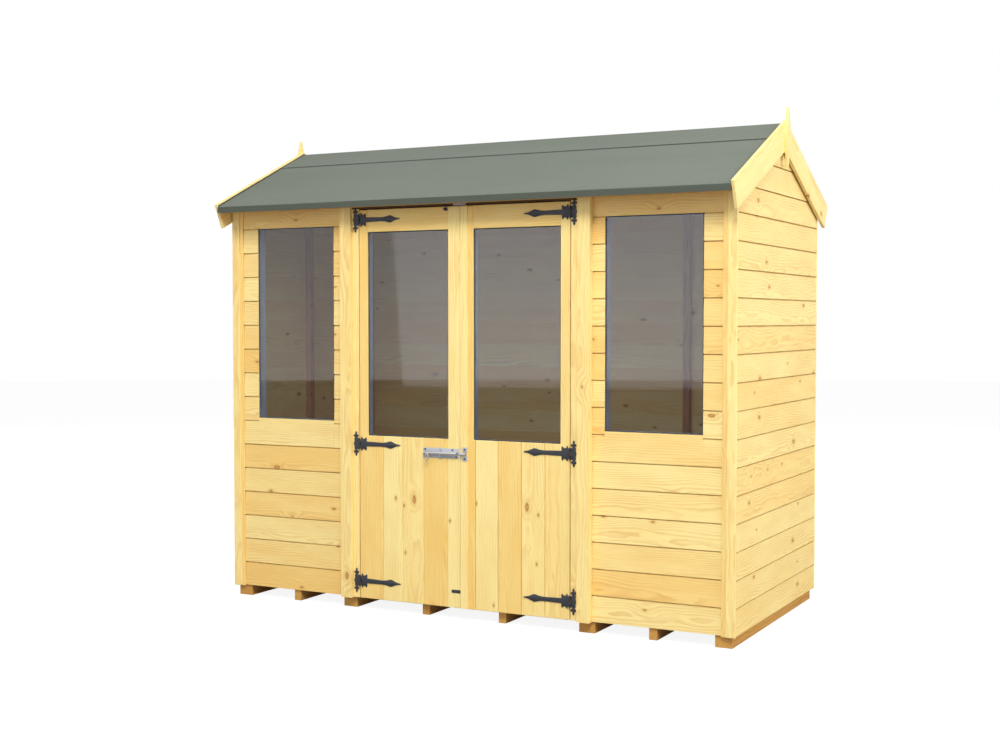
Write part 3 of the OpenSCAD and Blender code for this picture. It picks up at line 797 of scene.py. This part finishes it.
def leaf(side, word):
    """One leaf: upright boards, the outer ones notched round the glass, a top rail and ledges."""
    body = f"{word}_leaf"
    inner, outer = panel_lo.x, panel_hi.x + 1.5 * MM
    glass_in, glass_out = pane_lo.x, pane_hi.x
    thick = panel_hi.y - panel_lo.y
    foot, head, top = panel_lo.z, pane_hi.z, stile_hi.z
    low, high = pane_lo.z - foot, top - foot
    ends = [outer if end is None else end * MM for end, tone in LEAF_BOARDS[word]]
    tones = [tone for end, tone in LEAF_BOARDS[word]]
    boards = Timber(f"{word}_door_boards")
    edges = Timber(f"{word}_door_edge_boards")
    gap = LEAF_GAP[word]
    for a, b, tone in zip([inner] + ends, ends, tones):
        a, b = a + gap, b - gap
        wide = b - a
        notch_in, notch_out = glass_in - a, glass_out - a
        if b <= glass_in:
            target, outline = edges, [(0, 0), (0, wide), (high, wide), (high, 0)]
        elif a < glass_in:
            target, outline = edges, [(0, 0), (0, wide), (low, wide), (low, notch_in), (high, notch_in),
                                      (high, 0)]
        elif b > glass_out:
            target, outline = edges, [(0, 0), (0, wide), (high, wide), (high, notch_out),
                                      (low, notch_out), (low, 0)]
        else:
            target, outline = boards, [(0, 0), (0, wide), (low, wide), (low, 0)]
        place = axes(Vector((side * a, DOOR_Y, foot)), Z, side * X, -Y)
        target.plank(place, outline, thick, bevel=1.9 * MM, tone=tone)
    boards.finish(DOOR_PINE, body, "pine_boards", f"{word}_door_panel")
    edges.finish(DOOR_PINE, body, "pine_boards", f"{word}_door_stiles")

    rail = Timber(f"{word}_door_top_rail")
    start = glass_in if side > 0 else -glass_out
    rail.plank(facing_front(start, DOOR_Y, head), oblong(glass_out - glass_in, top - head),
               thick, bevel=0.8 * MM, tone=0.7)
    rail.finish(DOOR_PINE, body, "pine_boards", f"{word}_door_top")
    bars(f"{word}_door_ledge_bars", TREATED, body, "rough_timber", f"{word}_door_ledges")


def meeting_strip():
    """The strip on the right leaf's meeting edge, which starts a little past the CAD one."""
    strip = Timber("meeting_strip")
    start = strip_lo.x - 3 * MM
    place = axes(Vector((start, strip_lo.y, strip_lo.z)), Z, X, -Y)
    strip.profile(place, oblong(strip_hi.x - start, strip_lo.y - strip_hi.y), strip_hi.z - strip_lo.z,
                  bevel=0.8 * MM, segments=2, tone=0.2)
    strip.finish(DOOR_PINE, "right_leaf", "planed_trim", "right_door_strip")


# ---- glazing ----

def border(name, body, lo, hi, wide, near, far, bevel, material, tall_uprights):
    """Four bars round a pane, between two depths in Y. The uprights or the others run full length."""
    dx, dz = (wide, 0) if tall_uprights else (0, wide)
    sides = ((lo.x + dx, lo.z, hi.x - dx, lo.z + wide), (lo.x + dx, hi.z - wide, hi.x - dx, hi.z),
             (lo.x, lo.z + dz, lo.x + wide, hi.z - dz), (hi.x - wide, lo.z + dz, hi.x, hi.z - dz))
    parts = []
    for x0, z0, x1, z1 in sides:
        corners = ((x0, z0), (x1, z0), (x1, z1), (x0, z1))
        part = prism([(x, near, z) for x, z in corners], (0, far - near, 0))
        round_edges(part, bevel)
        parts.append(part)
    join_parts(name, parts, material, body, "glazing")


def glazing():
    """The panes, each with a dark seal in front of it and a grey liner behind it."""
    for word in ("left", "right"):
        for node, body in ((f"{word}_window_glass", "house"), (f"{word}_door_glass", f"{word}_leaf")):
            for held in frame["nodes"][node].material_slots:
                held.material = GLASS
            lo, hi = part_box(node)
            border(node.replace("glass", "seal"), body, lo, hi, 4.2 * MM, lo.y, lo.y - 2.5 * MM,
                   0.7 * MM, SEAL, False)
            depth = 44 * MM if body == "house" else 30 * MM
            border(node.replace("glass", "liner"), body, lo, hi, 2 * MM, hi.y + 0.5 * MM, hi.y + depth,
                   0.4 * MM, LINER, True)


# ---- ironmongery ----

def arc(centre, radius, start, end, steps):
    """Points on an arc, with angles in degrees."""
    turns = [math.radians(start + (end - start) * i / steps) for i in range(steps + 1)]
    return [(centre[0] + radius * math.cos(t), centre[1] + radius * math.sin(t)) for t in turns]


def plate(outline, place, thickness, bevel=0.7 * MM):
    """A flat metal plate from an outline in millimetres."""
    bm = prism([(x * MM, y * MM, 0) for x, y in outline], (0, 0, thickness))
    round_edges(bm, bevel, 2, least=0.9)
    bmesh.ops.transform(bm, matrix=place, verts=bm.verts[:])
    bmesh.ops.recalc_face_normals(bm, faces=bm.faces[:])
    return bm


def skin(bm, rings, closed=False):
    """Faces from each ring of vertices to the next, and back to the first if closed."""
    for low, high in zip(rings, rings[1:] + rings[:1] if closed else rings[1:]):
        for i, start in enumerate(low):
            j = (i + 1) % len(low)
            bm.faces.new((start, low[j], high[j], high[i]))


def lathe(points, place, segments=24):
    """A turned shape: points are radius and height in millimetres, about the place's z."""
    bm = bmesh.new()
    rings = []
    for radius, height in points:
        ring = []
        for s in range(segments):
            turn = 2 * math.pi * s / segments
            ring.append(bm.verts.new((radius * MM * math.cos(turn), radius * MM * math.sin(turn),
                                      height * MM)))
        rings.append(ring)
    skin(bm, rings)
    bm.faces.new(rings[0][::-1])
    bm.faces.new(rings[-1])
    bmesh.ops.transform(bm, matrix=place, verts=bm.verts[:])
    bmesh.ops.recalc_face_normals(bm, faces=bm.faces[:])
    return bm


def screw(x, z, face_y, radius=3.2):
    """A domed screw head, on a face that looks along -Y. x and z are in metres."""
    place = facing_front(x, face_y, z)
    return lathe([(radius, -0.3), (radius, 0.3), (radius * 0.92, 0.75), (radius * 0.7, 1.1),
                  (radius * 0.35, 1.3)], place, 16)


def mirrored(points):
    """The points turned over the x axis, in reverse order."""
    return [(x, -y) for x, y in reversed(points)]


def jamb_outline():
    """The fixed plate, from its middle: straight beside the knuckles, a ball and spike each end."""
    lobe = arc((7.4, 35.5), 5.7, 118, -112, 8)
    right = [(0, 55), (3, 52.8), (4.8, 48.5), (4.2, 43)] + lobe
    left = [(-x, y) for x, y in right[1:]] + [(-5.6, 27), (-9, 23.5), (-12, 21.5)]
    right += [(5.6, 27), (8.4, 24), (9.8, 20.5), (8.6, 12)]
    bulge = arc((3.5, 0), 9.4, 42, -42, 6)
    return right + bulge + mirrored(right) + [(x, -y) for x, y in left] + left[::-1]


def strap_outline():
    """The moving strap, from its pin: cusped plate, tapered bar and spear head."""
    top = [(-5.6, 21), (-8, 20.4), (-10.2, 32), (-12.6, 31.4), (-17, 24.5), (-23.6, 21.8),
           (-29.5, 24.5), (-33.5, 29), (-36.6, 28), (-37.6, 25), (-37.6, 10.8), (-60, 10.3),
           (-118, 8.8), (-138, 10.6), (-152, 14.2), (-162.7, 16.5), (-173, 12.6), (-188, 6.4),
           (-202, 3.4), (-210, 2.4), (-213, 0)]
    return top + mirrored(top[:-1])


def hinge_axis():
    """The x and y of the right door's hinge axis. The left one mirrors it."""
    return next(j["pos_m"][:2] for j in frame["joints"] if j["name"] == "right_door_hinge")


def web(x0, x1, tall, place):
    """The bit of plate between a knuckle and its leaf, with sizes in millimetres."""
    bm = prism([(x0, 0, 0), (x1, 0, 0), (x1, -2.8, 0), (x0, -2.8, 0)], (0, 0, tall))
    bmesh.ops.transform(bm, matrix=place, verts=bm.verts[:])
    bmesh.ops.recalc_face_normals(bm, faces=bm.faces[:])
    return bm


def hinge(side, lo, hi, fixed, moving):
    """Adds one T-hinge: a jamb plate with the outer knuckles, and a strap with the middle one."""
    axis_x, axis_y = hinge_axis()
    radius, third, plate_t, head_r = 4.8, 8.0, 3 * MM, 2.8
    z = (lo.z + hi.z) / 2
    pin = axes(Vector((side * axis_x, axis_y, z)), X, Y, Z)

    def beside_pin(height):
        return axes(Vector((side * axis_x, DOOR_Y, z + height * MM)), side * X * MM, Y * MM, Z * MM)

    centre_x = max(abs(lo.x), abs(hi.x)) - 12 * MM
    middle = axes(Vector((side * centre_x, DOOR_Y, z)), side * X, Z, -Y)
    fixed.append(plate(jamb_outline(), middle, plate_t))
    for dx, dz in ((-2, 12.4), (-2, -12.4), (0, 36.5), (0, -36.5)):
        fixed.append(screw(side * (centre_x + dx * MM), z + dz * MM, DOOR_Y - plate_t, head_r))
    end = 3 * third
    knuckle = ((radius - 0.7, third + 0.5), (radius, third + 1.2), (radius, end - 1),
               (radius - 1, end), (2.6, end), (2.6, end + 1.2), (1.4, end + 2))
    for way in (-1, 1):
        fixed.append(lathe([(r, way * height) for r, height in knuckle], pin))
        start = third + 0.5 if way > 0 else 0.5 - end
        fixed.append(web(-0.4, 8, 2 * third - 1, beside_pin(start)))

    strap = axes(Vector((side * axis_x, DOOR_Y, z)), side * X, Z, -Y)
    moving.append(plate(strap_outline(), strap, plate_t))
    moving.append(lathe([(radius - 0.7, -third), (radius, -third + 0.7), (radius, third - 0.7),
                         (radius - 0.7, third)], pin))
    moving.append(web(-8, 0.4, 2 * third, beside_pin(-third)))
    for dx, dz in ((-24, 8.9), (-24, -8.9), (-51.8, 0), (-106.4, 0), (-174.9, 0)):
        moving.append(screw(side * (axis_x + dx * MM), z + dz * MM, DOOR_Y - plate_t, head_r))


def hinges():
    """Three T-hinges on each leaf, at the CAD ones' heights."""
    for side, word in ((-1, "left"), (1, "right")):
        fixed, moving = [], []
        for lo, hi in islands(f"{word}_hinge_plates"):
            hinge(side, lo, hi, fixed, moving)
        join_parts(f"{word}_hinge_jamb_plates", fixed, IRON, "house", "black_iron",
                   f"{word}_hinge_plates")
        join_parts(f"{word}_hinge_straps", moving, IRON, f"{word}_leaf", "black_iron",
                   f"{word}_door_straps")


def arch(x0, x1, face_y, axis_y, z, inner, wall):
    """A half round cover along X that stands on a face, with its legs down to the face."""
    reach = face_y - axis_y

    def half_round(radius, way):
        turns = [math.pi * i / 12 for i in range(13)]
        curve = [(-radius * math.sin(a), -way * radius * math.cos(a)) for a in turns]
        return [(reach, -way * radius)] + curve + [(reach, way * radius)]

    outline = half_round(inner + wall, 1) + half_round(inner, -1)
    bm = prism([(x0, axis_y + a, z + b) for a, b in outline], (x1 - x0, 0, 0))
    round_edges(bm, 0.4 * MM, 1, least=0.9)
    return bm


def rounded(width, height, radius):
    """A rectangle with round corners, from its middle."""
    w, h = width / 2 - radius, height / 2 - radius
    corners = ((w, h, 0), (-w, h, 90), (-w, -h, 180), (w, -h, 270))
    return [p for cx, cy, start in corners for p in arc((cx, cy), radius, start, start + 90, 4)]


BOLT_Z = (bolt_lo.z + bolt_hi.z) / 2
SHEET_T = 1.8 * MM


def rod_axis_y():
    """The rod lies one radius behind its front, which the CAD node's body shows at its right end."""
    mesh = frame["nodes"]["bolt_rod"].data
    tip = [v.co.y for v in mesh.vertices if v.co.x > rod_hi.x - 1 * MM]
    return (min(tip) + max(tip)) / 2


def bolt_body():
    """The back plate on the left leaf, with its sleeves, cross guide and screws."""
    left, right = bolt_lo.x, bolt_hi.x
    face = DOOR_Y - SHEET_T
    back = facing_front((left + right) / 2, DOOR_Y, BOLT_Z)
    parts = [plate(rounded((right - left) / MM, 43, 3), back, SHEET_T, 0.4 * MM)]
    inner, wall, rod_y = 5.8 * MM, 1.4 * MM, rod_axis_y()
    sleeves = [arch(right - 86 * MM, right - 5 * MM, face, rod_y, BOLT_Z, inner, wall),
               arch(left + 8 * MM, left + 15 * MM, face, rod_y, BOLT_Z, inner, wall)]
    guide_x, ear_t = right - 91 * MM, 2.2 * MM
    parts.append(arch(guide_x - 5 * MM, guide_x + 5 * MM, face, rod_y, BOLT_Z, inner + 0.3 * MM, ear_t))
    for way in (-1, 1):
        ear = facing_front(guide_x, face, BOLT_Z + way * 18 * MM)
        parts.append(plate(rounded(11, 15, 4), ear, ear_t, 0.7 * MM))
        rivet = facing_front(guide_x, face - ear_t, BOLT_Z + way * 17.5 * MM)
        parts.append(lathe([(4.6, 0), (4.4, 1.2), (3.4, 2.2), (1.6, 2.8)], rivet, 20))
    join_parts("bolt_back_plate", parts, ZINC, "left_leaf", "zinc", "bolt_plate")
    join_parts("bolt_sleeves", sleeves, BRIGHT, "left_leaf", "zinc")

    holes = ((left + 11 * MM, 15), (left + 11 * MM, -14), (right - 32 * MM, 15),
             (right - 13 * MM, -14.5))
    heads = [screw(x, BOLT_Z + dz * MM, face + 0.3 * MM, 4.1) for x, dz in holes]
    join_parts("bolt_screws", heads, SCREW_RECESS_SHADE, "left_leaf", "black_iron")


def drop_ring(x, y, z, radius, tube, stretch):
    """The oval ring that hangs from the rod's stem, with sizes in millimetres."""
    bm = bmesh.new()
    rings = []
    for i in range(28):
        a = 2 * math.pi * i / 28
        row = []
        for k in range(12):
            b = 2 * math.pi * k / 12
            reach = (radius + tube * math.cos(b)) * MM
            row.append(bm.verts.new((x + reach * math.sin(a), y - tube * math.sin(b) * MM,
                                     z + reach * math.cos(a) * stretch)))
        rings.append(row)
    skin(bm, rings, closed=True)
    bmesh.ops.recalc_face_normals(bm, faces=bm.faces[:])
    return bm


def bolt_rod():
    """The sliding rod, with a stem and its drop ring."""
    rod_y = rod_axis_y()
    long = (rod_hi.x - rod_lo.x) / MM
    along = axes(Vector((rod_lo.x, rod_y, BOLT_Z)), Z, Y, X)
    stem_x = rod_lo.x + 22 * MM
    stem = facing_front(stem_x, rod_y, BOLT_Z)
    rod = [(3.6, 0), (4.7, 1), (5, 2.4), (5, long - 2.4), (4.7, long - 1), (3.6, long)]
    parts = [lathe(rod, along, 28),
             lathe([(3.2, 0), (3.2, 14.5), (2.4, 15.6)], stem, 16),
             drop_ring(stem_x, rod_y - 13 * MM, BOLT_Z - 17 * MM, 7.6, 2.3, 1.7)]
    join_parts("bolt_slide_rod", parts, BRIGHT, "bolt", "zinc", "bolt_rod")


def bolt_keeper():
    """The keeper on the right leaf, a little right of the CAD one, clear of the bolt's plate."""
    face, shift = strip_lo.y, 4 * MM
    lo_x, hi_x = keeper_lo.x + shift, keeper_hi.x + shift
    centre = (lo_x + hi_x) / 2
    tabs, heads = [], []
    for way in (-1, 1):
        spot = facing_front(centre, face, BOLT_Z + way * 19 * MM)
        tabs.append(plate(rounded((hi_x - lo_x) / MM, 21, 1.5), spot, SHEET_T, 0.4 * MM))
        heads.append(screw(centre, BOLT_Z + way * 20 * MM, face - 1.5 * MM, 4.2))
    barrel = arch(lo_x - 8 * MM, hi_x - 3 * MM, face, rod_axis_y(), BOLT_Z, 6.2 * MM, 1.8 * MM)
    join_parts("bolt_keeper_plate", tabs, ZINC, "right_leaf", "zinc", "bolt_keeper")
    join_parts("bolt_keeper_barrel", [barrel], BRIGHT, "right_leaf", "zinc")
    join_parts("keeper_screws", heads, SCREW_RECESS_SHADE, "right_leaf", "black_iron")


def small_fittings():
    """The strike plate and turn knobs over the doors, and a plain plate low on the left leaf."""

    def flat(name, x, z, width, height, thick, material, body, slot):
        spot = facing_front(x, DOOR_Y, FOOT_Z + z)
        flat_plate = plate(rounded(width, height, 2), spot, thick, 0.4 * MM)
        join_parts(name, [flat_plate], material, body, slot)

    flat("strike_plate", -4 * MM, 1731 * MM, 62, 11, 2 * MM, ZINC, "house", "zinc")
    flat("plain_plate", -23 * MM, 71 * MM, 44, 14, 1.6 * MM, IRON, "left_leaf", "black_iron")
    for name, body, z in (("turn_knob_low", "left_leaf", 1711), ("turn_knob_high", "house", 1731)):
        spot = facing_front(-71 * MM, DOOR_Y, FOOT_Z + z * MM)
        knob = lathe([(7.5, 0), (7.5, 1.5), (5, 2.5), (4.5, 6), (6.5, 8), (7, 11), (5.5, 13.5),
                      (2, 14.5)], spot)
        join_parts(name, [knob], IRON, body, "black_iron")


# ---- stage ----

def studio_world():
    """A world that is white to the camera and in reflections, and a weaker light on surfaces."""
    world = bpy.data.worlds.new("studio")
    bpy.context.scene.world = world
    world.use_nodes = True
    tree = world.node_tree
    light = tree.nodes["Background"]
    light.inputs["Color"].default_value = (1, 1, 1, 1)
    path = tree.nodes.new("ShaderNodeLightPath").outputs
    total = path["Is Camera Ray"]
    for ray in ("Is Glossy Ray", "Is Transmission Ray"):
        sum_node = tree.nodes.new("ShaderNodeMath")
        sum_node.operation = "ADD"
        sum_node.use_clamp = True
        tree.links.new(total, sum_node.inputs[0])
        tree.links.new(path[ray], sum_node.inputs[1])
        total = sum_node.outputs[0]
    level = tree.nodes.new("ShaderNodeMapRange")
    tree.links.new(total, level.inputs["Value"])
    level.inputs["To Min"].default_value = 0.36
    level.inputs["To Max"].default_value = 1.0
    tree.links.new(level.outputs["Result"], light.inputs["Strength"])


def pale_floor():
    """A wide round floor: near white to the camera with its shadow kept, dim in reflections."""
    g = Graph("pale_floor", Roughness=0.9)
    rays = g.node("LightPath").outputs
    g.colour(g.mix(rays["Is Camera Ray"], srgb(165, 165, 165), srgb(248, 248, 248)))
    white = g.node("Emission", {"Color": (1, 1, 1, 1), "Strength": 1.12}).outputs[0]
    share = g.times(rays["Is Camera Ray"], 0.8)
    seen = g.node("MixShader", {0: share, 1: g.shader.outputs[0], 2: white}).outputs[0]
    dim = g.node("Emission", {"Color": (0.2, 0.2, 0.2, 1)}).outputs[0]
    both = g.node("MixShader", {0: rays["Is Glossy Ray"], 1: seen, 2: dim}).outputs[0]
    g.tree.links.new(both, g.tree.nodes["Material Output"].inputs["Surface"])
    radius, steps = 24.9, 64
    turns = [2 * math.pi * i / steps for i in range(steps)]
    rim = [(radius * math.cos(a), radius * math.sin(a), 0) for a in turns]
    make_object("floor_disc", rim, [tuple(range(steps))], g.material)


def lamp(name, spot, aim, size, watts):
    """A soft square lamp, left out of reflections."""
    data = bpy.data.lights.new(name, "AREA")
    data.size = size
    data.energy = watts
    made = show(name, data)
    made.location = spot
    made.rotation_euler = (Vector(aim) - Vector(spot)).to_track_quat("-Z", "Y").to_euler()
    made.visible_glossy = False


def stage():
    """The world, the floor and the lamps."""
    studio_world()
    pale_floor()
    middle = (0, 0, 0.9)
    lamp("key", (3.0, -6.2, 7.6), middle, 3.4, 690)
    lamp("side", (8.0, -1.2, 4.4), (1.2, 0, 1.0), 3.5, 400)
    lamp("fill", (-2.5, -8.5, 3.0), middle, 5.0, 110)
    lamp("back", (-4.0, 8.0, 4.5), middle, 5.0, 620)


def camera():
    """The photograph's viewing angle, from a fit of the house's edges."""
    data = bpy.data.cameras.new("camera")
    data.sensor_width = 36.0
    data.lens = 50.59
    made = show("camera", data)
    made.location = (2.924, -5.823, 1.287)
    made.rotation_euler = (math.radians(90 - 2.232), 0, math.radians(27.585))
    bpy.context.scene.camera = made


front_walls()
outer_walls()
corner_trims()
doorway()
floor()
framing()
roof_boards()
felt()
bitumen()
eaves_and_barges()
leaf(-1, "left")
leaf(1, "right")
meeting_strip()
glazing()
hinges()
bolt_body()
bolt_rod()
bolt_keeper()
small_fittings()
stage()
camera()

bpy.context.scene.view_settings.view_transform = "Standard"

bpy.context.view_layer.update()
